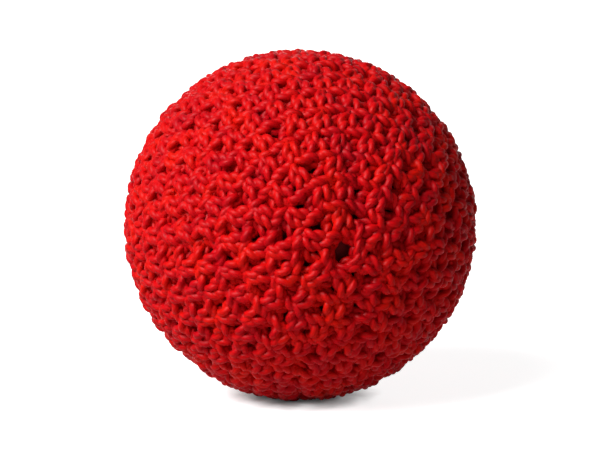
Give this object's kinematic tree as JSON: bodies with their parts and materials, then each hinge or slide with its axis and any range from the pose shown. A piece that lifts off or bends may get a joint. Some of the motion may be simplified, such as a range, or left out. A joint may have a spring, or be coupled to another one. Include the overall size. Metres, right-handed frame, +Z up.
{
  "type": "crochet ball",
  "caption": "Round play ball: a firm rubber core in a cover of red cotton single crochet, worked in rounds from a start loop and drawn shut at the closing loop.",
  "frame": {"origin": "middle of the pressed-flat patch that the ball lies on, at floor level", "axes": "+Z up; the rounds lie round the Y axis, with the start loop behind at +Y and the closing loop in front at -Y"},
  "size_m": [0.0538, 0.0536, 0.0535],
  "materials": {
    "cotton_yarn": "red mercerised cotton yarn with a soft sheen",
    "core_rubber": "dark red moulded rubber, dull"
  },
  "bodies": {
    "root": {"core_ball": "core_rubber", "start_loop": "cotton_yarn", "start_tail": "cotton_yarn", "round_01": "cotton_yarn", "round_02": "cotton_yarn", "round_03": "cotton_yarn", "round_04": "cotton_yarn", "round_05": "cotton_yarn", "round_06": "cotton_yarn", "round_07": "cotton_yarn", "round_08": "cotton_yarn", "round_09": "cotton_yarn", "round_10": "cotton_yarn", "round_11": "cotton_yarn", "round_12": "cotton_yarn", "round_13": "cotton_yarn", "round_14": "cotton_yarn", "round_15": "cotton_yarn", "round_16": "cotton_yarn", "round_17": "cotton_yarn", "round_18": "cotton_yarn", "round_19": "cotton_yarn", "round_20": "cotton_yarn", "closing_loop": "cotton_yarn", "closing_tail": "cotton_yarn"}
  },
  "joints": []
}
